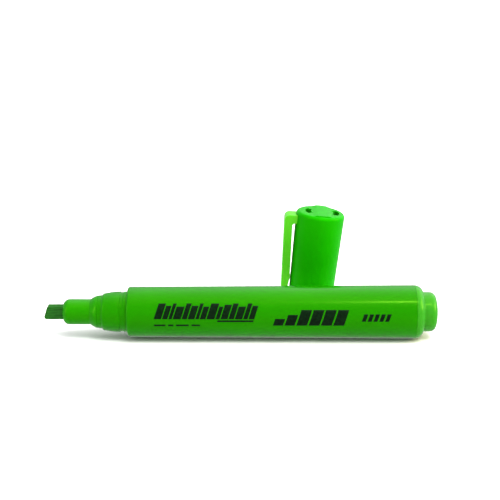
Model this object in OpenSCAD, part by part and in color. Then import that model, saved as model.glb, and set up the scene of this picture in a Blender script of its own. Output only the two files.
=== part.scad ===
// Capped highlighter with a chisel nib: the pen lies along X with its nib at -X,
// and its cap stands on the table behind it, leaning on the tip of its clip.
// Millimetres, +Z up, origin at the bottom centre of the whole set.

/* [Pen] */
// Length from the tip of the nib to the end of the tail stub
pen_len = 120; // [110:1:140]
// Outer diameter of the barrel at its front edge
barrel_d_front = 15.3; // [14.8:0.1:16]
// Outer diameter of the barrel where it meets the tail plug
barrel_d_rear = 16.3; // [16:0.1:17]
// Wall thickness of the barrel
barrel_wall = 1.2; // [0.9:0.1:1.3]
// Diameter of the collar that the cap closes on
collar_d = 12.45; // [12.3:0.05:12.6]
// Distance from the tip of the nib to the front edge of the barrel
shoulder_at = 25.5; // [25:0.5:27]

/* [Nib and holder] */
// Height of the felt nib, across its writing edge
nib_h = 4; // [3.6:0.1:4.6]
// Thickness of the felt nib
nib_t = 2.9; // [2.4:0.1:3.4]
// Slant of the writing edge off square
nib_slant = 18; // [0:1:30]
// Diameter of the nose that holds the nib
nose_d = 7.8; // [7.4:0.1:8]
// Length of nib that stands out of the nose
nib_out = 5.8; // [4.5:0.1:7]

/* [Reservoir] */
// Diameter of the fibre core
core_d = 11.8; // [10:0.1:12]
// Length of the fibre core
core_len = 76; // [60:1:78]
// Thickness of the film around the core
film_t = 0.12; // [0.08:0.02:0.2]

/* [Cap] */
// Length of the cap from mouth to closed end
cap_len = 31.4; // [31:0.2:34]
// Outer diameter of the cap at its mouth
cap_d_mouth = 14.4; // [14.2:0.1:14.8]
// Outer diameter of the cap at its closed end
cap_d_top = 15.7; // [15.5:0.1:16.2]
// Lean of the standing cap away from its clip
cap_lean = 5.8; // [4:0.2:8]
// Distance of the standing cap behind the pen, axis to axis
cap_behind = 29; // [22:1:50]
// Distance of the standing cap from the middle of the pen, towards the tail
cap_right = 22.4; // [0:0.1:40]

/* [Clip] */
// Width of the clip at its root
clip_w = 5.6; // [4.5:0.1:6.5]
// Thickness of the clip's arm
clip_t = 2.7; // [2.2:0.1:3]
// Gap between the clip's arm and the cap at the root
clip_gap = 0.9; // [0.8:0.1:1.4]

/* [Hidden] */
$fn = 72;

// Running clearance between a pressed piece and the wall it sits in
fit = 0.02;
// Radii of the pen's outside
r_front = barrel_d_front / 2;
r_rear = barrel_d_rear / 2;
r_collar = collar_d / 2;
r_nose = nose_d / 2;
// Stations along the pen, from the tip of the nib
seam_at = shoulder_at - 9;
ledge_end = seam_at + 1.25;
neck_at = shoulder_at - 6.8;
collar_at = shoulder_at - 2.9;
groove_at = shoulder_at - 2.2;
groove_w = 1.1;
core_at = shoulder_at + 4;
core_end = core_at + core_len;
plug_at = pen_len - 7.1;
plug_bore_at = plug_at - 7;
stub_at = plug_at + 2.7;
// Radii inside the pen
r_neck_bore = 4.6;
r_bore_front = r_front - barrel_wall;
r_plug_bore = r_rear - barrel_wall;
r_bore_rear = r_plug_bore - 0.1;
r_film = core_d / 2 + film_t;
r_ledge = 5.12;
r_neck = 5.72;
r_stub = 6.05;
stub_round = 2;
// Cap radii and heights, from its mouth
r_mouth = cap_d_mouth / 2;
r_cap = cap_d_top / 2;
rim_h = 2.4;
cap_top_t = 1.2;
mouth_gap = 0.3;
cap_bore_r = r_collar + 0.05;
mouth_edge = 0.2;
top_edge = 1.1;
// Raised bar across the closed end: half widths at its foot and top, height, offset
bar_foot = 3.1;
bar_top = 1.6;
bar_h = 0.35;
bar_x = 0.5;
// Vents either side of the bar: radii and offset of their centre
vent_r = [3.6, 5.5];
vent_x = 0.5;
vent_half = 32;
// The cap's mouth stops at this station of the pen when it is closed
mouth_stop = shoulder_at - mouth_gap;
// Inner cap: its rim seats on the ledge of the neck, its end clears the nib
liner_at = mouth_stop - ledge_end + 0.1;
liner_r = 5.8;
liner_r_end = 5.0;
liner_wall = 0.6;
liner_end = mouth_stop + 1.8;
// Clip, in the cap's own frame with u pointing away from the cap's axis
hinge_z = cap_len - 3.8;
hinge_u = cap_r_at(hinge_z) + clip_gap + clip_t / 2;
tip_r = 0.55;
tip_u = 9.15;
bead_z = 9.2;
bridge_top = cap_len - 1.35;
bridge_round = 1.6;
// Lowest points of the leaning cap: the far side of its rim, and the clip's tip
rim_low = -(r_mouth - mouth_edge) * sin(cap_lean) - mouth_edge * (1 - cos(cap_lean));
tip_z = (rim_low + tip_r - tip_u * sin(cap_lean)) / cos(cap_lean);
// Places in the shared frame: the set is centred front to back
set_depth = r_rear + cap_behind + r_cap;
pen_y = r_rear - set_depth / 2;
cap_y = set_depth / 2 - r_cap;

// Outer radius of the cap at height z above its mouth
function cap_r_at(z) =
    r_mouth + (r_cap - r_mouth) * min(1, z / (cap_len - rim_h));
// Points [radius, height] on an arc about c, from angle a0 to angle a1
function arc(c, r, a0, a1, n = 6) =
    [for (i = [0:n]) let (a = a0 + (a1 - a0) * i / n) [c[0] + r * cos(a), c[1] + r * sin(a)]];
// Points that ease out of p and settle into q
function ease(p, q, k = 1.5, n = 6) =
    [for (i = [0:n]) let (t = i / n)
        [p[0] + (q[0] - p[0]) * (1 - pow(1 - t, k)), p[1] + (q[1] - p[1]) * t]];

module place_pen() {
    translate([-pen_len / 2, pen_y, r_rear])
        rotate([0, 90, 0])
            children();
}

module place_cap() {
    translate([cap_right, cap_y, -rim_low])
        rotate([0, cap_lean, 0])
            children();
}

// A flat plate standing across the pen's or cap's width, drawn in [u, z]
module side_plate(width) {
    rotate([90, 0, 0])
        linear_extrude(height = width, center = true)
            mirror([1, 0])
                children();
}

// Moulded tube with an integral neck for the cap, open at the rear
module barrel() {
    color("limegreen")
    place_pen() {
        difference() {
            rotate_extrude()
                polygon(concat(
                    [[r_neck_bore, seam_at], [r_ledge - 0.15, seam_at], [r_ledge, seam_at + 0.15],
                     [r_ledge, ledge_end]],
                    ease([r_ledge + 0.1, ledge_end], [r_neck, neck_at], 2.2),
                    ease([r_neck, neck_at], [r_collar, collar_at], 1.6),
                    [[r_collar, shoulder_at]],
                    arc([r_front - 0.7, shoulder_at + 0.7], 0.7, -90, 0),
                    [[r_rear, plug_at], [r_plug_bore, plug_at], [r_plug_bore, plug_bore_at],
                     [r_bore_rear, plug_bore_at], [r_bore_front, core_at - 1],
                     [r_neck_bore, core_at - 2.8]]));
            // Snap groove that the bead in the cap's mouth drops into
            translate([0, 0, groove_at])
                difference() {
                    cylinder(h = groove_w, r = r_collar + 1);
                    cylinder(h = groove_w, r = r_collar - 0.2);
                }
        }
        barrel_ribs();
    }
}

// Six ribs that hold the reservoir clear of the wall, so air can pass
module barrel_ribs() {
    for (a = [0:60:300])
        rotate([0, 0, a])
            translate([r_film + fit, -0.4, core_at])
                cube([r_bore_rear + 0.4 - r_film, 0.8, core_len - 2]);
}

// Section through the nib, lying across the pen
module nib_section() {
    square([nib_h, nib_t], center = true);
}

// Nose that grips the nib, pressed into the neck of the barrel
module nib_holder() {
    color("mediumseagreen")
    place_pen() {
        difference() {
            rotate_extrude()
                polygon(concat(
                    [[0, nib_out]],
                    arc([r_nose - 1.9, nib_out + 1.9], 1.9, -90, 0),
                    [[r_nose, seam_at - 2.4]],
                    ease([r_nose, seam_at - 2.4], [r_ledge - 0.15, seam_at - 0.1], 1.5),
                    [[r_ledge - 0.25, seam_at], [r_neck_bore, seam_at],
                     [r_neck_bore, core_at - 3.6], [r_neck_bore - 0.6, core_at - 3],
                     [0, core_at - 3]]));
            translate([0, 0, nib_out - 1])
                linear_extrude(height = core_at)
                    nib_section();
            // Air channels beside the nib
            for (side = [-1, 1])
                translate([0, side * nib_t / 2, nib_out - 1])
                    cylinder(h = core_at, r = 0.35);
            // Grooves that vent the barrel past the plug of the holder
            for (a = [45:90:315])
                rotate([0, 0, a])
                    translate([r_neck_bore - 0.4, -0.5, seam_at + 2])
                        cube([1, 1, core_at]);
        }
    }
}

// Solid of the felt nib: a slanted edge in front, a point in the reservoir
module nib_solid() {
    blunt = 0.7;
    far = 0.03 + (nib_h - 1.3 * blunt) * tan(nib_slant);
    end = core_at + 9;
    intersection() {
        rotate([90, 0, 0])
            linear_extrude(height = nib_t, center = true)
                polygon(concat(
                    [[-nib_h / 2, far + 0.2], [-nib_h / 2 + 0.2, far - 0.05]],
                    arc([nib_h / 2 - blunt, blunt], blunt, -90 - nib_slant, -90, 3),
                    arc([nib_h / 2 - blunt, blunt], blunt, -90, 0),
                    [[nib_h / 2, end - 4], [0.7, end], [-0.7, end], [-nib_h / 2, end - 4]]));
        rotate([90, 0, 90])
            linear_extrude(height = nib_h, center = true)
                polygon([[-nib_t / 2 + 0.3, -1], [nib_t / 2 - 0.3, -1], [nib_t / 2, 1.6],
                         [nib_t / 2, end - 4], [0.6, end + 0.1], [-0.6, end + 0.1],
                         [-nib_t / 2, end - 4], [-nib_t / 2, 1.6]]);
    }
}

module nib() {
    color("darkgreen")
    place_pen()
        nib_solid();
}

// Fibre core that stores the ink, with the nib pushed into its front end
module reservoir_core() {
    color("palegreen")
    place_pen()
        difference() {
            translate([0, 0, core_at])
                cylinder(h = core_len, r = core_d / 2);
            nib_solid();
        }
}

// Plastic film wrapped round the core
module reservoir_film() {
    color("honeydew")
    place_pen()
        translate([0, 0, core_at])
            difference() {
                cylinder(h = core_len, r = r_film);
                translate([0, 0, -1])
                    cylinder(h = core_len + 2, r = core_d / 2);
            }
}

// Plug that closes the rear: rounded shoulder, stub, skirt and two seal rings
module tail_plug() {
    skirt_at = plug_bore_at + 0.8;
    color("yellowgreen")
    place_pen() {
        difference() {
            union() {
                rotate_extrude()
                    polygon(concat(
                        [[0, skirt_at], [r_plug_bore - 0.4, skirt_at],
                         [r_plug_bore - 0.1, skirt_at + 0.5], [r_plug_bore - 0.1, plug_at]],
                        [[r_rear - 0.08, plug_at]],
                        arc([r_rear - 2.6, plug_at + 0.1], 2.6, 0, 77, 8),
                        [[r_stub, stub_at]],
                        arc([r_stub - stub_round, pen_len - 2.5], stub_round, 0, 70),
                        [[3.2, pen_len - 0.28], [1.6, pen_len - 0.07], [0, pen_len]]));
                for (s = [skirt_at + 1.6, skirt_at + 3.8])
                    translate([0, 0, s])
                        cylinder(h = 0.8, r = r_plug_bore);
            }
            translate([0, 0, skirt_at - 1])
                cylinder(h = plug_at - skirt_at + 1, r = r_plug_bore - 1.3);
            translate([0, 0, plug_at - 1])
                cylinder(h = pen_len - 1.6 - plug_at + 1, r = r_stub - 1.3);
        }
        // Crossed ribs that stop the core from sliding back
        for (a = [0, 90])
            rotate([0, 0, a])
                translate([-(r_plug_bore - 1), -0.45, core_end])
                    cube([2 * (r_plug_bore - 1), 0.9, plug_at - core_end]);
    }
}

// Outline [radius, height] of the cap's outside, from its mouth to its centre top
function cap_outline() = concat(
    arc([r_mouth - mouth_edge, mouth_edge], mouth_edge, -90, 0, 3),
    [[r_cap, cap_len - rim_h]],
    arc([r_cap - top_edge, cap_len - top_edge], top_edge, 0, 90),
    [[0, cap_len]]);

// Crescent air vent through the closed end
module vent() {
    rotate([0, 0, -vent_half])
        rotate_extrude(angle = 2 * vent_half)
            translate([vent_r[0], cap_len - cap_top_t - 1])
                square([vent_r[1] - vent_r[0], 4]);
}

// Bridge that carries the clip, with a round seat for the arm's root
module clip_bridge() {
    difference() {
        side_plate(clip_w)
            polygon(concat(
                [[r_cap - 0.8, hinge_z - 0.3], [hinge_u - clip_t / 2, hinge_z - 0.3],
                 [hinge_u, hinge_z], [hinge_u + clip_t / 2, hinge_z]],
                arc([hinge_u + clip_t / 2 - bridge_round, bridge_top - bridge_round - 0.1],
                    bridge_round, 0, 90, 6),
                [[r_cap - 0.5, bridge_top]]));
        translate([-hinge_u, 0, hinge_z])
            rotate([90, 0, 0])
                cylinder(h = clip_w + 2, r = clip_t / 2 + 0.06, center = true);
    }
}

// Sleeve of the cap: snap bead at the mouth, ribs round the inner cap, vented end
module cap_shell() {
    inner_top = cap_len - cap_top_t;
    color("forestgreen")
    place_cap() {
        difference() {
            union() {
                rotate_extrude()
                    polygon(concat(
                        [[cap_bore_r, 0]],
                        cap_outline(),
                        [[0, inner_top], [r_cap - 0.95, inner_top], [cap_bore_r, 3.4]]));
                // Raised bar between the two vents
                intersection() {
                    rotate([90, 0, 0])
                        linear_extrude(height = 2 * r_cap, center = true)
                            polygon([[bar_x - bar_foot, cap_len - 0.5],
                                     [bar_x + bar_foot, cap_len - 0.5],
                                     [bar_x + bar_foot, cap_len],
                                     [bar_x + bar_top, cap_len + bar_h],
                                     [bar_x - bar_top, cap_len + bar_h],
                                     [bar_x - bar_foot, cap_len]]);
                    cylinder(h = cap_len + 1, r = r_cap - top_edge);
                }
            }
            translate([vent_x, 0, 0])
                for (a = [0, 180])
                    rotate([0, 0, a])
                        vent();
        }
        // Snap bead
        rotate_extrude()
            polygon([[cap_bore_r + 0.2, 0.8], [cap_bore_r + 0.2, 1.8], [cap_bore_r - 0.12, 1.5],
                     [cap_bore_r - 0.12, 1.2]]);
        cap_ribs(inner_top);
        clip_bridge();
    }
}

// Six ribs in the cap that grip the inner cap and stop it below the vents
module cap_ribs(inner_top) {
    difference() {
        for (half = [0, 180], a = [45:45:135])
            rotate([0, 0, half + a])
                translate([3.4, -0.4, liner_at + 1.2])
                    cube([r_mouth - 3.5, 0.8, inner_top + 0.1 - liner_at - 1.2]);
        liner_outside(fit);
    }
}

// Outside of the inner cap, grown by a clearance
module liner_outside(gap = 0) {
    translate([0, 0, liner_at])
        cylinder(h = liner_end - liner_at, r1 = liner_r + gap, r2 = liner_r_end + gap);
}

// Inner cap that seals round the nib against the ledge of the neck
module inner_cap() {
    color("lightgreen")
    place_cap()
        difference() {
            liner_outside();
            translate([0, 0, liner_at - 0.01])
                cylinder(h = liner_end - liner_at - 0.8, r1 = liner_r - liner_wall,
                         r2 = liner_r_end - liner_wall);
        }
}

// Springy arm of the clip: bead near the cap, flared tip past the mouth
module cap_clip() {
    bead_u = cap_r_at(bead_z) + 0.12;
    tip_low = tip_z - tip_r;
    end_r = clip_w / 2 - 0.6;
    color("seagreen")
    place_cap() {
        intersection() {
            side_plate(clip_w)
                polygon(concat(
                    arc([hinge_u, hinge_z], clip_t / 2, 0, 180, 16),
                    [[cap_r_at(bead_z + 5) + 0.42, bead_z + 5]],
                    arc([bead_u + 3, bead_z], 3, 158, 202, 6),
                    arc([tip_u, tip_z], tip_r, 165, 375, 8)));
            // The arm narrows towards a rounded end
            rotate([90, 0, 90])
                linear_extrude(height = 40, center = true)
                    polygon(concat(
                        [[clip_w / 2, hinge_z + 3], [-clip_w / 2, hinge_z + 3]],
                        arc([0, tip_low + end_r], end_r, 180, 360, 12)));
        }
    }
}

barrel();
nib_holder();
nib();
reservoir_core();
reservoir_film();
tail_plug();
cap_shell();
inner_cap();
cap_clip();
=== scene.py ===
"""Looks of a capped highlighter: the pen lies on its side, its cap stands behind it.

All lengths are in millimetres until a mesh is made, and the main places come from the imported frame.
"""

import math

import bmesh
import bpy
from mathutils import Matrix, Vector


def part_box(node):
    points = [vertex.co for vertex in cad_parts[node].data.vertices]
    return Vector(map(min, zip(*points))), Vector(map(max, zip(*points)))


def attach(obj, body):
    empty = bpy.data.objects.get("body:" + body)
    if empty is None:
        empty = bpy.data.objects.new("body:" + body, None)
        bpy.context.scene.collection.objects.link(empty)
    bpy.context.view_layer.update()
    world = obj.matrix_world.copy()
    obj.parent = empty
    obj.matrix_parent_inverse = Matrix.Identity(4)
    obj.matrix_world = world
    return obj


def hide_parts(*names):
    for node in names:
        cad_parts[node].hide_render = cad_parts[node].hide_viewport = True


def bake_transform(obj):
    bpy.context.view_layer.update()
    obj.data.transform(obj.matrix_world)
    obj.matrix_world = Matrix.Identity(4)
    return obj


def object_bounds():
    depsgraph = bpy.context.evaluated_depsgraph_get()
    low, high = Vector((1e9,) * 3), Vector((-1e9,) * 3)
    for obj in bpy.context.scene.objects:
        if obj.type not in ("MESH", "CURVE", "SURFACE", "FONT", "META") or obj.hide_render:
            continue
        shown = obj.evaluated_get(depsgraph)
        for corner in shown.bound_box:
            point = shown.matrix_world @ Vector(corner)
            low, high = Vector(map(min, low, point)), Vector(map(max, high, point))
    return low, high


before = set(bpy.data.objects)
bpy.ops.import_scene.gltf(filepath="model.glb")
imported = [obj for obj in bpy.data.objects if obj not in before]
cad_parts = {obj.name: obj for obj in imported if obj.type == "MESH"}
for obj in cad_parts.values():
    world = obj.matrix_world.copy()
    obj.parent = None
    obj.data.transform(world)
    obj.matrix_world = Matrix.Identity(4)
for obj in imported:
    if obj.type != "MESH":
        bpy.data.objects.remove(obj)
cad_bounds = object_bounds()

MM = 0.001
TURN = 160  # flat sides in a full turn of a lathed piece


# ---------------------------------------------------------------- places from the frame

barrel_low, barrel_high = (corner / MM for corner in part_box("barrel"))
nib_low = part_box("nib")[0] / MM
plug_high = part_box("tail_plug")[1] / MM
set_high = cad_bounds[1] / MM

PEN_LEN = plug_high.x - nib_low.x
R_REAR = (barrel_high.z - barrel_low.z) / 2
PEN_Y = (barrel_low.y + barrel_high.y) / 2
PEN_Z = (barrel_low.z + barrel_high.z) / 2
SEAM_AT = barrel_low.x - nib_low.x  # stations run from the tip of the nib
PLUG_AT = barrel_high.x - nib_low.x
NECK_LEN = 9
SHOULDER_AT = SEAM_AT + NECK_LEN

# The pen's own sizes, as the part's source states them
R_FRONT = 7.65
R_COLLAR = 6.225
R_NOSE = 3.9
R_LEDGE = 5.12
R_NECK = 5.72
R_STUB, STUB_ROUND = 6.05, 2
NIB_H, NIB_T = 4.0, 2.9
NIB_OUT = 5.8
NIB_SLANT = math.radians(18)
WALL = 1.2

# The cap's own sizes
CAP_LEN = 31.4
R_MOUTH, R_CAP = 7.2, 7.85
RIM_H = 2.4
TOP_T = 1.2
MOUTH_EDGE = 0.2
TOP_EDGE = 1.1
BAR_FOOT, BAR_TOP, BAR_H, BAR_X = 3.1, 1.6, 0.35, 0.5
VENT_R = (3.6, 5.5)
VENT_X = 0.5
VENT_HALF = 32
CAP_LEAN = math.radians(5.8)
CAP_RIGHT = 22.4
CAP_Y = set_high.y - R_CAP
CAP_LIFT = (R_MOUTH - MOUTH_EDGE) * math.sin(CAP_LEAN) + MOUTH_EDGE * (1 - math.cos(CAP_LEAN))
BORE_R = R_COLLAR + 0.05
LINER_AT, LINER_END = 7.55, 27.0
LINER_R, LINER_WALL = 5.8, 0.6
RIB_FROM, RIB_TO, RIB_HALF = 5.75, 6.95, 0.4
CLIP_W, CLIP_T, CLIP_GAP = 5.6, 2.7, 0.9
BRIDGE_TOP, BRIDGE_ROUND = CAP_LEN - 1.35, 1.6
HINGE_Z = CAP_LEN - 3.8
TIP_U, TIP_R = 9.15, 0.55
TIP_Z = (TIP_R - CAP_LIFT - TIP_U * math.sin(CAP_LEAN)) / math.cos(CAP_LEAN)
BEAD_Z = 9.2

PEN = Matrix.Translation((nib_low.x, PEN_Y, PEN_Z)) @ Matrix.Rotation(math.pi / 2, 4, "Y")
CAP = Matrix.Translation((CAP_RIGHT, CAP_Y, CAP_LIFT)) @ Matrix.Rotation(CAP_LEAN, 4, "Y")


def cap_radius(z):
    """Outer radius of the cap at a height above its mouth."""
    return R_MOUTH + (R_CAP - R_MOUTH) * min(1, z / (CAP_LEN - RIM_H))


def barrel_radius(s):
    """Outer radius of the barrel at a station."""
    t = (s - SHOULDER_AT - 0.7) / (PLUG_AT - SHOULDER_AT - 0.7)
    return R_FRONT + (R_REAR - R_FRONT) * t


# ---------------------------------------------------------------- outlines


def arc(centre, radius, start, end, steps=6):
    """Points (radius, station) on an arc, with angles in degrees."""
    turns = [math.radians(start + (end - start) * i / steps) for i in range(steps + 1)]
    return [(centre[0] + radius * math.cos(a), centre[1] + radius * math.sin(a)) for a in turns]


def ease(first, last, power, steps=8):
    """Points that leave first quickly and settle into last."""
    out = []
    for i in range(steps + 1):
        t = i / steps
        out.append((first[0] + (last[0] - first[0]) * (1 - (1 - t) ** power),
                    first[1] + (last[1] - first[1]) * t))
    return out


def soften(outline, radius, closed=True, steps=4):
    """Rounds every corner of an outline that turns by more than 20 degrees."""
    points = [Vector(p) for p in outline]
    count = len(points)
    out = []
    for i, here in enumerate(points):
        if not closed and i in (0, count - 1):
            out.append(here)
            continue
        before, after = points[i - 1] - here, points[(i + 1) % count] - here
        if before.length < 1e-6 or after.length < 1e-6:
            out.append(here)
            continue
        bend = math.pi - before.angle(after)
        if bend < math.radians(20):
            out.append(here)
            continue
        cut = min(radius * math.tan(bend / 2), before.length * 0.45, after.length * 0.45)
        start, end = here + before.normalized() * cut, here + after.normalized() * cut
        for k in range(steps + 1):
            t = k / steps
            out.append(start * (1 - t) ** 2 + here * 2 * t * (1 - t) + end * t ** 2)
    return [tuple(p) for p in out]


# ---------------------------------------------------------------- mesh making


def finish_mesh(name, bm, place, smooth=True):
    """Moves a mesh built in millimetres to its place and makes an object of it."""
    bmesh.ops.remove_doubles(bm, verts=bm.verts, dist=1e-5)
    bmesh.ops.recalc_face_normals(bm, faces=bm.faces)
    bmesh.ops.transform(bm, matrix=Matrix.Scale(MM, 4) @ place, verts=bm.verts)
    mesh = bpy.data.meshes.new(name)
    bm.to_mesh(mesh)
    bm.free()
    for face in mesh.polygons:
        face.use_smooth = smooth
    piece = bpy.data.objects.new(name, mesh)
    bpy.context.scene.collection.objects.link(piece)
    return piece


def lathe(name, outline, place, turn=TURN):
    """Closed solid made by turning a closed outline of (radius, station) points about the axis."""
    bm = bmesh.new()
    rings = []
    for radius, station in outline:
        if radius < 1e-4:
            rings.append([bm.verts.new((0, 0, station))])
            continue
        ring = []
        for i in range(turn):
            a = 2 * math.pi * i / turn
            ring.append(bm.verts.new((radius * math.cos(a), radius * math.sin(a), station)))
        rings.append(ring)
    for near, far in zip(rings, rings[1:] + rings[:1]):
        if len(near) == 1 and len(far) == 1:
            continue
        for i in range(turn):
            j = (i + 1) % turn
            if len(near) == 1:
                bm.faces.new((near[0], far[j], far[i]))
            elif len(far) == 1:
                bm.faces.new((near[i], near[j], far[0]))
            else:
                bm.faces.new((near[i], near[j], far[j], far[i]))
    return finish_mesh(name, bm, place)


def slab(name, outline, low, high, place, frame_axes="xz"):
    """Flat solid: an outline in the local XZ or YZ plane, drawn through from low to high."""
    bm = bmesh.new()
    layers = []
    for depth in (low, high):
        if frame_axes == "xz":
            layers.append([bm.verts.new((a, depth, b)) for a, b in outline])
        else:
            layers.append([bm.verts.new((depth, a, b)) for a, b in outline])
    bm.faces.new(layers[0])
    bm.faces.new(reversed(layers[1]))
    for i in range(len(outline)):
        j = (i + 1) % len(outline)
        bm.faces.new((layers[0][i], layers[0][j], layers[1][j], layers[1][i]))
    return finish_mesh(name, bm, place, smooth=False)


def box_piece(name, low, high, place):
    """Plain block, used only as a cutter or a hidden rib."""
    return slab(name, [(low[0], low[2]), (high[0], low[2]), (high[0], high[2]), (low[0], high[2])],
                low[1], high[1], place)


def settle(piece):
    """Applies a piece's modifiers to its mesh."""
    bpy.context.view_layer.update()
    made = bpy.data.meshes.new_from_object(
        piece.evaluated_get(bpy.context.evaluated_depsgraph_get()))
    piece.modifiers.clear()
    piece.data = made


def combine(piece, other, operation):
    """Cuts, joins or keeps the overlap of two pieces, and removes the second."""
    step = piece.modifiers.new("combine", "BOOLEAN")
    step.operation = operation
    step.solver = "EXACT"
    step.object = other
    settle(piece)
    bpy.data.objects.remove(other)


def round_edges(piece, width, segments=3, angle=30):
    """Rounds a piece's sharp edges and keeps its flat faces flat in shading."""
    bevel = piece.modifiers.new("round", "BEVEL")
    bevel.width = width * MM
    bevel.segments = segments
    bevel.limit_method = "ANGLE"
    bevel.angle_limit = math.radians(angle)
    bevel.harden_normals = False
    settle(piece)


def clean_shading(piece, sharp=40):
    """Smooth shading with sharp creases, and normals that follow the large faces."""
    for face in piece.data.polygons:
        face.use_smooth = True
    bm = bmesh.new()
    bm.from_mesh(piece.data)
    for edge in bm.edges:
        if len(edge.link_faces) == 2:
            edge.smooth = edge.calc_face_angle(0) < math.radians(sharp)
    bm.to_mesh(piece.data)
    bm.free()
    step = piece.modifiers.new("normals", "WEIGHTED_NORMAL")
    step.keep_sharp = True
    step.weight = 80


# ---------------------------------------------------------------- materials


def shader(name):
    """New node material: returns it, its node tree and its principled shader."""
    material = bpy.data.materials.new(name)
    material.use_nodes = True
    tree = material.node_tree
    return material, tree, tree.nodes["Principled BSDF"]


def wire(tree, a, a_name, b, b_name):
    tree.links.new(a.outputs[a_name], b.inputs[b_name])


def noise(tree, scale, detail=4, stretch=(1, 1, 1)):
    """Noise in the piece's own space, with its scale in waves per metre."""
    where = tree.nodes.new("ShaderNodeTexCoord")
    mapping = tree.nodes.new("ShaderNodeMapping")
    mapping.inputs["Scale"].default_value = stretch
    wire(tree, where, "Object", mapping, "Vector")
    texture = tree.nodes.new("ShaderNodeTexNoise")
    texture.inputs["Scale"].default_value = scale
    texture.inputs["Detail"].default_value = detail
    wire(tree, mapping, "Vector", texture, "Vector")
    return texture


def ramp(tree, source, stops):
    """Colour ramp over a noise: stops are (place, colour)."""
    node = tree.nodes.new("ShaderNodeValToRGB")
    elements = node.color_ramp.elements
    while len(elements) < len(stops):
        elements.new(0.5)
    for element, (place, colour) in zip(elements, stops):
        element.position = place
        element.color = (*colour, 1)
    wire(tree, source, "Fac", node, "Fac")
    return node


def spread(tree, source, low, high):
    """Maps a noise to a range of values."""
    node = tree.nodes.new("ShaderNodeMapRange")
    node.inputs["From Min"].default_value = 0.3
    node.inputs["From Max"].default_value = 0.7
    node.inputs["To Min"].default_value = low
    node.inputs["To Max"].default_value = high
    wire(tree, source, "Fac", node, "Value")
    return node


def bumps(tree, target, layers):
    """Stacks bump maps: layers are (noise, strength, depth in mm)."""
    last = None
    for source, strength, depth in layers:
        node = tree.nodes.new("ShaderNodeBump")
        node.inputs["Strength"].default_value = strength
        node.inputs["Distance"].default_value = depth * MM
        wire(tree, source, "Fac", node, "Height")
        if last:
            wire(tree, last, "Normal", node, "Normal")
        last = node
    wire(tree, last, "Normal", target, "Normal")


def painted_groove_shadow(tree, colour):
    """Painted shadow: darkens the colour in a band round the snap groove at the root of the collar."""
    where = tree.nodes.new("ShaderNodeTexCoord")
    split = tree.nodes.new("ShaderNodeSeparateXYZ")
    wire(tree, where, "Object", split, "Vector")
    along = tree.nodes.new("ShaderNodeMapRange")
    along.inputs["From Min"].default_value = (SHOULDER_AT - 3) * MM
    along.inputs["From Max"].default_value = (SHOULDER_AT - 0.4) * MM
    wire(tree, split, "Z", along, "Value")
    shade = tree.nodes.new("ShaderNodeValToRGB")
    elements = shade.color_ramp.elements
    elements[0].color = elements[1].color = (1, 1, 1, 1)
    for place in (0.38, 0.8):
        elements.new(place).color = (0.15, 0.68, 0.3, 1)
    wire(tree, along, "Result", shade, "Fac")
    blend = tree.nodes.new("ShaderNodeMixRGB")
    blend.blend_type = "MULTIPLY"
    blend.inputs["Fac"].default_value = 1
    wire(tree, colour, "Color", blend, "Color1")
    wire(tree, shade, "Color", blend, "Color2")
    return blend


def moulded_plastic(name, light, deep, gloss=0.17, glow=0.35, shine=0.4, groove=False):
    """Translucent moulded plastic: soft colour swirls, gloss that varies, slight orange peel, and with
    groove a painted shadow band at the collar's root.
    """
    material, tree, principled = shader(name)
    swirl = noise(tree, 70, 3, (0.35, 1, 1))
    colour = ramp(tree, swirl, [(0.3, deep), (0.7, light)])
    # groove=True multiplies in a painted shadow band at the root of the collar
    if groove:
        colour = painted_groove_shadow(tree, colour)
    wire(tree, colour, "Color", principled, "Base Color")
    smear = noise(tree, 260, 5)
    wire(tree, spread(tree, smear, gloss * 0.8, gloss * 1.3), "Result", principled, "Roughness")
    principled.inputs["Subsurface Weight"].default_value = glow
    principled.inputs["Subsurface Radius"].default_value = (0.35, 1.0, 0.12)
    principled.inputs["Subsurface Scale"].default_value = 1.2 * MM
    principled.inputs["Specular IOR Level"].default_value = shine
    principled.inputs["Specular Tint"].default_value = (0.4, 1, 0.04, 1)
    principled.inputs["IOR"].default_value = 1.49
    bumps(tree, principled, [(noise(tree, 420, 2), 0.15, 0.006), (noise(tree, 5200, 3), 0.08, 0.002)])
    return material


def felt_material():
    """Stiff ink-soaked felt: long fibres, darker where it is wettest."""
    material, tree, principled = shader("felt")
    fibres = noise(tree, 2600, 6, (0.12, 1, 1))
    colour = ramp(tree, fibres, [(0.3, (0.006, 0.05, 0.004)), (0.5, (0.012, 0.085, 0.008)),
                                 (0.72, (0.02, 0.14, 0.014))])
    wire(tree, colour, "Color", principled, "Base Color")
    wire(tree, spread(tree, noise(tree, 900, 4), 0.45, 0.8), "Result", principled, "Roughness")
    principled.inputs["Specular IOR Level"].default_value = 0.06
    bumps(tree, principled, [(fibres, 0.6, 0.06), (noise(tree, 7000, 4), 0.4, 0.02)])
    return material


def fibre_material():
    """Bonded fibre of the reservoir core, streaked with ink."""
    material, tree, principled = shader("fibre")
    streaks = noise(tree, 1800, 6, (0.05, 1, 1))
    colour = ramp(tree, streaks, [(0.3, (0.12, 0.55, 0.05)), (0.7, (0.45, 0.85, 0.25))])
    wire(tree, colour, "Color", principled, "Base Color")
    wire(tree, spread(tree, streaks, 0.75, 0.95), "Result", principled, "Roughness")
    bumps(tree, principled, [(streaks, 0.7, 0.05)])
    return material


def film_material():
    """Thin clear film with faint wrinkles."""
    material, tree, principled = shader("film")
    wrinkle = noise(tree, 500, 4, (0.2, 1, 1))
    colour = ramp(tree, wrinkle, [(0.3, (0.72, 0.86, 0.68)), (0.7, (0.88, 0.94, 0.85))])
    wire(tree, colour, "Color", principled, "Base Color")
    wire(tree, spread(tree, wrinkle, 0.12, 0.3), "Result", principled, "Roughness")
    principled.inputs["Alpha"].default_value = 0.4
    bumps(tree, principled, [(wrinkle, 0.3, 0.02)])
    return material


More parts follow.
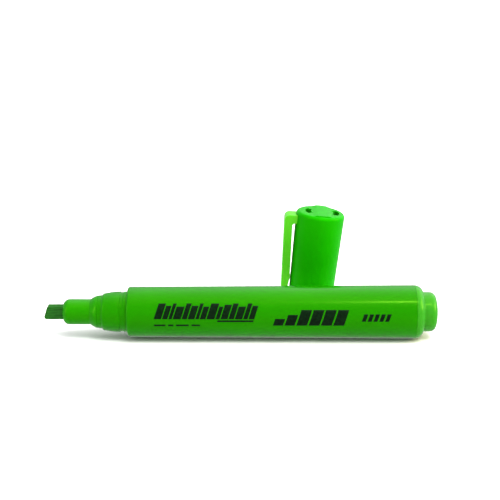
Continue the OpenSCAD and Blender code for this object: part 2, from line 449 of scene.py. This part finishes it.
def ink_material():
    """Pad-printed ink: slightly uneven, with pinholes in its gloss."""
    material, tree, principled = shader("print_ink")
    blot = noise(tree, 1500, 5)
    colour = ramp(tree, blot, [(0.35, (0.0005, 0.006, 0.001)), (0.7, (0.001, 0.014, 0.002))])
    wire(tree, colour, "Color", principled, "Base Color")
    wire(tree, spread(tree, blot, 0.3, 0.5), "Result", principled, "Roughness")
    principled.inputs["Specular IOR Level"].default_value = 0.08
    bumps(tree, principled, [(blot, 0.2, 0.005)])
    return material


def floor_material():
    """Pale matt table top."""
    material, tree, principled = shader("table")
    grain = noise(tree, 30, 3)
    colour = ramp(tree, grain, [(0.3, (0.83, 0.83, 0.83)), (0.7, (0.86, 0.86, 0.86))])
    wire(tree, colour, "Color", principled, "Base Color")
    wire(tree, spread(tree, grain, 0.85, 0.95), "Result", principled, "Roughness")
    principled.inputs["Specular IOR Level"].default_value = 0.1
    return material


# The barrel's green carries a painted groove shadow at the collar's root
BARREL_GREEN = moulded_plastic("barrel_green", (0.008, 0.184, 0.0003), (0.0055, 0.157, 0.0002), groove=True)
HOLDER_GREEN = moulded_plastic("holder_green", (0.010, 0.2, 0.0005), (0.007, 0.172, 0.0004))
PLUG_GREEN = moulded_plastic("plug_green", (0.028, 0.235, 0.012), (0.018, 0.205, 0.008))
CAP_GREEN = moulded_plastic("cap_green", (0.008, 0.32, 0.0004), (0.005, 0.28, 0.0003), glow=0.5, shine=0.08)
# The clip's colour is the cap's green plastic plus a painted glow: lighter and yellower, for light shining
# through the thin clip
CLIP_GREEN_AND_GLOW = moulded_plastic("clip_green_and_glow", (0.105, 0.54, 0.022), (0.08, 0.49, 0.016), glow=0.6, shine=0.2)
LINER_GREEN = moulded_plastic("liner_green", (0.16, 0.66, 0.04), (0.12, 0.58, 0.03), gloss=0.4, shine=0.2)
FELT = felt_material()
FIBRE = fibre_material()
FILM = film_material()
INK = ink_material()


def dress(piece, material, slot, body, *nodes):
    """Gives a piece its material, its body and the CAD nodes it stands for. The finish slot is not used."""
    piece.data.materials.clear()
    piece.data.materials.append(material)
    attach(piece, body)
    if nodes:
        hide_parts(*nodes)


# ---------------------------------------------------------------- the pen


def make_barrel():
    """Tube with its neck, ledge and snap groove, open at the rear where the plug sits."""
    groove = SHOULDER_AT - 2.2
    outline = [(4.6, SEAM_AT), (R_LEDGE - 0.1, SEAM_AT), (R_LEDGE, SEAM_AT + 1.25)]
    outline += ease((R_LEDGE + 0.12, SEAM_AT + 1.27), (R_NECK, SHOULDER_AT - 6.8), 2.2)
    outline += ease((R_NECK, SHOULDER_AT - 6.8), (R_COLLAR, SHOULDER_AT - 2.9), 1.6)[1:]
    outline += [(R_COLLAR, groove), (R_COLLAR - 0.2, groove + 0.12),
                (R_COLLAR - 0.2, groove + 0.98), (R_COLLAR, groove + 1.1),
                (R_COLLAR, SHOULDER_AT - 0.02)]
    outline += arc((R_FRONT - 0.7, SHOULDER_AT + 0.7), 0.7, -90, 0, 8)
    steps = 12
    outline += [(barrel_radius(s), s) for s in
                [SHOULDER_AT + 0.7 + (PLUG_AT - SHOULDER_AT - 0.7) * i / steps
                 for i in range(1, steps + 1)]]
    outline += [(R_REAR - WALL, PLUG_AT), (R_REAR - WALL, PLUG_AT - 7),
                (R_FRONT - WALL, SHOULDER_AT + 3), (4.6, SHOULDER_AT + 1.2)]
    piece = lathe("barrel_tube", soften(outline, 0.08), PEN)
    clean_shading(piece)
    dress(piece, BARREL_GREEN, "barrel_plastic", "pen", "barrel")


def make_holder():
    """Nose with a rounded lip, a flare down to the seam, and a slot for the nib."""
    outline = [(0, NIB_OUT)]
    outline += arc((R_NOSE - 1.9, NIB_OUT + 1.9), 1.9, -90, 0, 12)
    outline += [(R_NOSE, SEAM_AT - 2.6)]
    outline += ease((R_NOSE, SEAM_AT - 2.4), (R_LEDGE - 0.13, SEAM_AT - 0.12), 1.5)
    outline += [(R_LEDGE - 0.3, SEAM_AT - 0.02), (4.58, SEAM_AT - 0.02), (4.58, SEAM_AT + 10),
                (0, SEAM_AT + 10)]
    piece = lathe("holder_nose", soften(outline, 0.12, closed=False), PEN)
    half_h, half_t = NIB_H / 2 + 0.04, NIB_T / 2 + 0.04
    combine(piece, box_piece("slot", (-half_h, -half_t, 0), (half_h, half_t, 40), PEN),
            "DIFFERENCE")
    clean_shading(piece)
    dress(piece, HOLDER_GREEN, "holder_plastic", "pen", "nib_holder")


def make_nib():
    """Felt chisel: slanted writing edge, worn corners, and a fibrous skin."""
    blunt = 0.7
    far = 0.03 + (NIB_H - 1.3 * blunt) * math.tan(NIB_SLANT)
    end = SHOULDER_AT + 13
    side = [(-NIB_H / 2, far + 0.2), (-NIB_H / 2 + 0.2, far - 0.05)]
    side += arc((NIB_H / 2 - blunt, blunt), blunt, -90 - math.degrees(NIB_SLANT), 0, 12)
    side += [(NIB_H / 2, end - 4), (0.7, end), (-0.7, end), (-NIB_H / 2, end - 4)]
    top = [(-NIB_T / 2 + 0.3, -1), (NIB_T / 2 - 0.3, -1), (NIB_T / 2, 1.6), (NIB_T / 2, end - 4),
           (0.6, end + 0.1), (-0.6, end + 0.1), (-NIB_T / 2, end - 4), (-NIB_T / 2, 1.6)]
    piece = slab("felt_nib", side, -NIB_T / 2, NIB_T / 2, PEN)
    combine(piece, slab("nib_sides", top, -NIB_H / 2 - 1, NIB_H / 2 + 1, PEN, "yz"), "INTERSECT")
    round_edges(piece, 0.22, 4, 12)
    clean_shading(piece, 60)
    dress(piece, FELT, "felt", "pen", "nib")


def make_plug():
    """Rounded shoulder and stub that close the tail."""
    outline = [(0, PLUG_AT - 6.2), (0.45, PLUG_AT - 6.2), (R_REAR - WALL - 1.3, PLUG_AT - 6.2),
               (R_REAR - WALL - 0.4, PLUG_AT - 6.2), (R_REAR - WALL - 0.02, PLUG_AT - 5.7),
               (R_REAR - WALL - 0.02, PLUG_AT + 0.02), (R_REAR - 0.1, PLUG_AT + 0.02)]
    outline += arc((R_REAR - 2.62, PLUG_AT + 0.1), 2.6, 0, 77, 14)
    outline += [(R_STUB, PLUG_AT + 2.7)]
    outline += arc((R_STUB - STUB_ROUND, PEN_LEN - 2.5), STUB_ROUND, 0, 70, 12)
    outline += [(3.2, PEN_LEN - 0.28), (1.6, PEN_LEN - 0.07), (0, PEN_LEN)]
    piece = lathe("tail_stub", soften(outline, 0.1, closed=False), PEN)
    clean_shading(piece)
    dress(piece, PLUG_GREEN, "plug_plastic", "pen", "tail_plug")


# ---------------------------------------------------------------- generic print on the barrel

PRINT_TURN = math.radians(20)  # the print is turned up from the barrel's side by this much


def print_mark(name, corners, steps=10):
    """Patch of ink on the side of the barrel that faces the camera.

    Corners are (station, height along the barrel's skin), in order round the patch.
    """
    a, b, c, d = (Vector(p) for p in corners)
    skin, thick = 0.012, 0.03
    bm = bmesh.new()
    grid = {}
    for layer, lift in enumerate((-thick, skin)):
        for i in range(steps + 1):
            for j in range(steps + 1):
                u, v = i / steps, j / steps
                flat = (a * (1 - u) + b * u) * (1 - v) + (d * (1 - u) + c * u) * v
                radius = barrel_radius(flat.x)
                turn = PRINT_TURN + flat.y / radius
                radius += lift
                grid[layer, i, j] = bm.verts.new(
                    (-radius * math.sin(turn), -radius * math.cos(turn), flat.x))
    for layer in (0, 1):
        for i in range(steps):
            for j in range(steps):
                bm.faces.new([grid[layer, i + p, j + q] for p, q in
                              ((0, 0), (1, 0), (1, 1), (0, 1))])
    rim = ([(i, 0) for i in range(steps)] + [(steps, j) for j in range(steps)]
           + [(i, steps) for i in range(steps, 0, -1)] + [(0, j) for j in range(steps, 0, -1)])
    for p, q in zip(rim, rim[1:] + rim[:1]):
        bm.faces.new((grid[0, *p], grid[0, *q], grid[1, *q], grid[1, *p]))
    return finish_mesh(name, bm, PEN)


def slanted(at, width, low, high, lean=0.32):
    """Corners of a parallelogram that leans like italic strokes."""
    return [(at, low), (at + width, low), (at + width + lean * (high - low), high),
            (at + lean * (high - low), high)]


def tally(at, strokes, low, high, gap=0.42):
    """Row of slanted strokes on one base line: each is (width, share of the full height)."""
    marks = []
    for width, share in strokes:
        marks.append(slanted(at, width, low, low + share * (high - low)))
        at += width + gap
    return marks


def make_print():
    """Rows of plain slanted strokes, a rule and dashes: generic print that says nothing."""
    marks = tally(33.9, [(2.2, 1), (1.6, 0.85), (1.0, 1), (2.4, 0.8), (1.5, 1), (2.0, 0.85),
                         (1.0, 1), (1.7, 0.8), (2.4, 1), (1.2, 0.8), (2.1, 0.92), (1.6, 1),
                         (2.2, 0.8), (1.3, 1), (1.7, 0.85)], -2.3, 2.5, 0.3)
    marks.append(slanted(52.9, 10.8, -3.2, -2.65))
    for at, width in ((34, 3.4), (38.2, 1.6), (40.6, 3.8), (45.2, 2.6)):
        marks.append([(at, -4.6), (at + width, -4.6), (at + width, -4.05), (at, -4.05)])
    marks += tally(69.6, [(3.0, 0.45), (3.0, 0.7), (3.2, 1), (3.2, 1), (3.2, 1), (3.2, 1)],
                   -4.4, 0.5, 0.5)
    marks += tally(96.2, [(1.2, 1)] * 5, -3.1, -0.8, 0.55)
    for i, corners in enumerate(marks):
        piece = print_mark(f"print_{i:02d}", corners)
        dress(piece, INK, "felt", "pen")


# ---------------------------------------------------------------- the cap


def clip_side():
    """Outline of the clip seen from its side: bridge, arm, bead and flared tip."""
    root = cap_radius(HINGE_Z) + CLIP_GAP
    outer = root + CLIP_T
    bead = cap_radius(BEAD_Z) + 0.12
    points = [(R_CAP - 0.9, BRIDGE_TOP)]
    points += arc((outer - BRIDGE_ROUND, BRIDGE_TOP - BRIDGE_ROUND - 0.1), BRIDGE_ROUND, 90, 0, 12)
    points += [(outer, HINGE_Z)]
    points += arc((TIP_U, TIP_Z), TIP_R, 10, -195, 10)
    points += arc((bead + 3, BEAD_Z), 3, 202, 158, 8)
    points += [(cap_radius(BEAD_Z + 5) + 0.42, BEAD_Z + 5), (root, HINGE_Z - 1.2)]
    points += arc((root - 0.8, HINGE_Z - 1.1), 0.8, 0, 90, 6)
    points += [(R_CAP - 0.9, HINGE_Z - 0.3)]
    return [(-u, z) for u, z in points]


def make_clip():
    """Bridge and springy arm in one sweep."""
    piece = slab("clip_arm", clip_side(), -CLIP_W / 2, CLIP_W / 2, CAP)
    end_r = CLIP_W / 2 - 0.6
    front = [(-CLIP_W / 2, CAP_LEN + 1), (-CLIP_W / 2, HINGE_Z)]
    front += arc((0, TIP_Z - TIP_R + end_r), end_r, 180, 360, 24)
    front += [(CLIP_W / 2, HINGE_Z), (CLIP_W / 2, CAP_LEN + 1)]
    combine(piece, slab("clip_front", front, -20, 0, CAP, "yz"), "INTERSECT")
    round_edges(piece, 0.35, 4, 35)
    clean_shading(piece)
    return piece


def make_sleeve():
    """Tapered sleeve with a closed end, two vents, a raised bar and ribs for the inner cap."""
    inner_top = CAP_LEN - TOP_T
    outline = [(BORE_R, 0.15), (BORE_R + 0.15, 0)]
    outline += arc((R_MOUTH - 0.2, 0.2), 0.2, -90, 0, 5)
    outline += [(cap_radius(z), z) for z in (6, 12, 18, 24)]
    outline += [(R_CAP, CAP_LEN - RIM_H)]
    outline += arc((R_CAP - TOP_EDGE, CAP_LEN - TOP_EDGE), TOP_EDGE, 0, 90, 12)
    outline += [(5.6, CAP_LEN), (0, CAP_LEN), (0, inner_top), (R_CAP - 0.95, inner_top),
                (BORE_R, 3.4), (BORE_R, 1.8), (BORE_R - 0.12, 1.5), (BORE_R - 0.12, 1.2),
                (BORE_R, 0.8)]
    piece = lathe("cap_sleeve", outline, CAP)
    bar = slab("bar", [(BAR_X - BAR_FOOT, CAP_LEN - 0.5), (BAR_X + BAR_FOOT, CAP_LEN - 0.5),
                       (BAR_X + BAR_FOOT, CAP_LEN), (BAR_X + BAR_TOP, CAP_LEN + BAR_H),
                       (BAR_X - BAR_TOP, CAP_LEN + BAR_H), (BAR_X - BAR_FOOT, CAP_LEN)],
               -R_CAP, R_CAP, CAP)
    end = R_CAP - TOP_EDGE
    ends = [(0, CAP_LEN - 2), (end, CAP_LEN - 2), (end, CAP_LEN + 1), (0, CAP_LEN + 1)]
    combine(bar, lathe("bar_ends", ends, CAP), "INTERSECT")
    round_edges(bar, 0.2, 4, 20)
    combine(piece, bar, "UNION")
    for side in (0, 180):
        turns = [math.radians(side + VENT_HALF * (i / 8 - 1)) for i in range(17)]
        inner, outer = ([(VENT_X + r * math.cos(a), r * math.sin(a)) for a in order]
                        for r, order in zip(VENT_R, (turns[::-1], turns)))
        bm = bmesh.new()
        layers = [[bm.verts.new((x, y, z)) for x, y in outer + inner]
                  for z in (CAP_LEN - TOP_T - 0.6, CAP_LEN + 2)]
        bm.faces.new(layers[0])
        bm.faces.new(reversed(layers[1]))
        count = len(layers[0])
        for i in range(count):
            j = (i + 1) % count
            bm.faces.new((layers[0][i], layers[0][j], layers[1][j], layers[1][i]))
        combine(piece, finish_mesh("vent", bm, CAP, smooth=False), "DIFFERENCE")
    for half in (0, 180):
        for a in (45, 90, 135):
            turned = CAP @ Matrix.Rotation(math.radians(half + a), 4, "Z")
            rib = box_piece("rib", (RIB_FROM, -RIB_HALF, LINER_AT + 1.2),
                            (RIB_TO, RIB_HALF, inner_top + 0.1), turned)
            combine(piece, rib, "UNION")
    clean_shading(piece, 35)
    dress(piece, CAP_GREEN, "cap_plastic", "cap", "cap_shell")


def make_liner():
    """Inner cap: thin cup with a rounded rim."""
    outline = [(0, LINER_END), (5.0, LINER_END), (LINER_R, LINER_AT), (LINER_R - LINER_WALL, LINER_AT),
               (5.03 - LINER_WALL, LINER_END - 0.8), (0, LINER_END - 0.8)]
    piece = lathe("liner_cup", soften(outline, 0.25, closed=False), CAP)
    clean_shading(piece)
    dress(piece, LINER_GREEN, "liner_plastic", "cap", "inner_cap")


make_barrel()
make_holder()
make_nib()
make_plug()
make_print()
make_sleeve()
make_liner()
clip = make_clip()
clip.data.materials.append(CLIP_GREEN_AND_GLOW)
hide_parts("cap_clip")
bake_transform(clip)

for node, material in (("reservoir_core", FIBRE), ("reservoir_film", FILM)):
    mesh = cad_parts[node].data
    mesh.materials.clear()
    mesh.materials.append(material)


# ---------------------------------------------------------------- table, light and camera


def make_floor():
    """Wide table top that reflections leave out."""
    bm = bmesh.new()
    reach = 4000
    corners = [bm.verts.new((x, y, 0)) for x, y in
               ((-reach, -reach), (reach, -reach), (reach, reach), (-reach, reach))]
    bm.faces.new(corners)
    floor = finish_mesh("table_top", bm, Matrix.Identity(4), smooth=False)
    floor.data.materials.append(floor_material())
    floor.visible_glossy = False


def area_light(name, at, aim, size, power, colour=(1, 1, 1)):
    """Soft box: places and sizes in millimetres, power in watts."""
    light = bpy.data.lights.new(name, "AREA")
    light.shape = "RECTANGLE"
    light.size, light.size_y = size[0] * MM, size[1] * MM
    light.energy = power
    light.color = colour
    lamp = bpy.data.objects.new(name, light)
    lamp.location = Vector(at) * MM
    lamp.rotation_euler = (Vector(aim) - Vector(at)).to_track_quat("-Z", "Y").to_euler()
    bpy.context.scene.collection.objects.link(lamp)
    return lamp


def make_lights():
    """Room that is brightest up and to the right, a soft key light, a warm box and two strips."""
    world = bpy.data.worlds.new("studio")
    bpy.context.scene.world = world
    world.use_nodes = True
    tree = world.node_tree
    where = tree.nodes.new("ShaderNodeTexCoord")
    towards = tree.nodes.new("ShaderNodeVectorMath")
    towards.operation = "DOT_PRODUCT"
    towards.inputs[1].default_value = (0.5, 0.18, 0.845)
    wire(tree, where, "Generated", towards, 0)
    rise = tree.nodes.new("ShaderNodeMapRange")
    rise.interpolation_type = "SMOOTHSTEP"
    for name, value in (("From Min", 0.35), ("From Max", 0.9), ("To Min", 0.6), ("To Max", 2.0)):
        rise.inputs[name].default_value = value
    wire(tree, towards, "Value", rise, "Value")
    wire(tree, rise, "Result", tree.nodes["Background"], "Strength")
    tree.nodes["Background"].inputs["Color"].default_value = (1, 1, 1, 1)
    key = bpy.data.lights.new("key", "SUN")
    key.energy = 3.0
    key.angle = math.radians(40)
    lamp = bpy.data.objects.new("key", key)
    lamp.rotation_euler = Vector((0.25, -0.38, 1)).to_track_quat("Z", "Y").to_euler()
    lamp.visible_glossy = False
    bpy.context.scene.collection.objects.link(lamp)
    area_light("right_box", (650, -100, 300), (0, 0, 15), (350, 350), 3.2, (1, 0.85, 0.35))
    area_light("left_strip", (-450, -300, 250), (-40, PEN_Y, 8), (90, 420), 0.8)
    area_light("strip", (142, -292, 560), (45, PEN_Y, 10), (104, 14), 0.42)


def make_camera():
    """Looks down at the pen from in front, with the pen low in the picture."""
    tilt = math.radians(17)
    distance = 366.7
    right, forward = Vector((1, 0, 0)), Vector((0, math.cos(tilt), -math.sin(tilt)))
    up = right.cross(forward)
    middle = Vector((nib_low.x + PEN_LEN / 2, PEN_Y, PEN_Z))
    aim = middle + right * 2.77 + up * 18.86
    place = aim - forward * distance
    lens = bpy.data.cameras.new("camera")
    lens.lens = 86.4
    lens.sensor_width = 36
    lens.clip_start = 0.01
    lens.clip_end = 20
    camera = bpy.data.objects.new("camera", lens)
    camera.matrix_world = Matrix((
        (right[0], up[0], -forward[0], place[0] * MM),
        (right[1], up[1], -forward[1], place[1] * MM),
        (right[2], up[2], -forward[2], place[2] * MM),
        (0, 0, 0, 1)))
    bpy.context.scene.collection.objects.link(camera)
    bpy.context.scene.camera = camera


make_floor()
make_lights()
make_camera()
bpy.context.scene.view_settings.view_transform = "Standard"

bpy.context.view_layer.update()
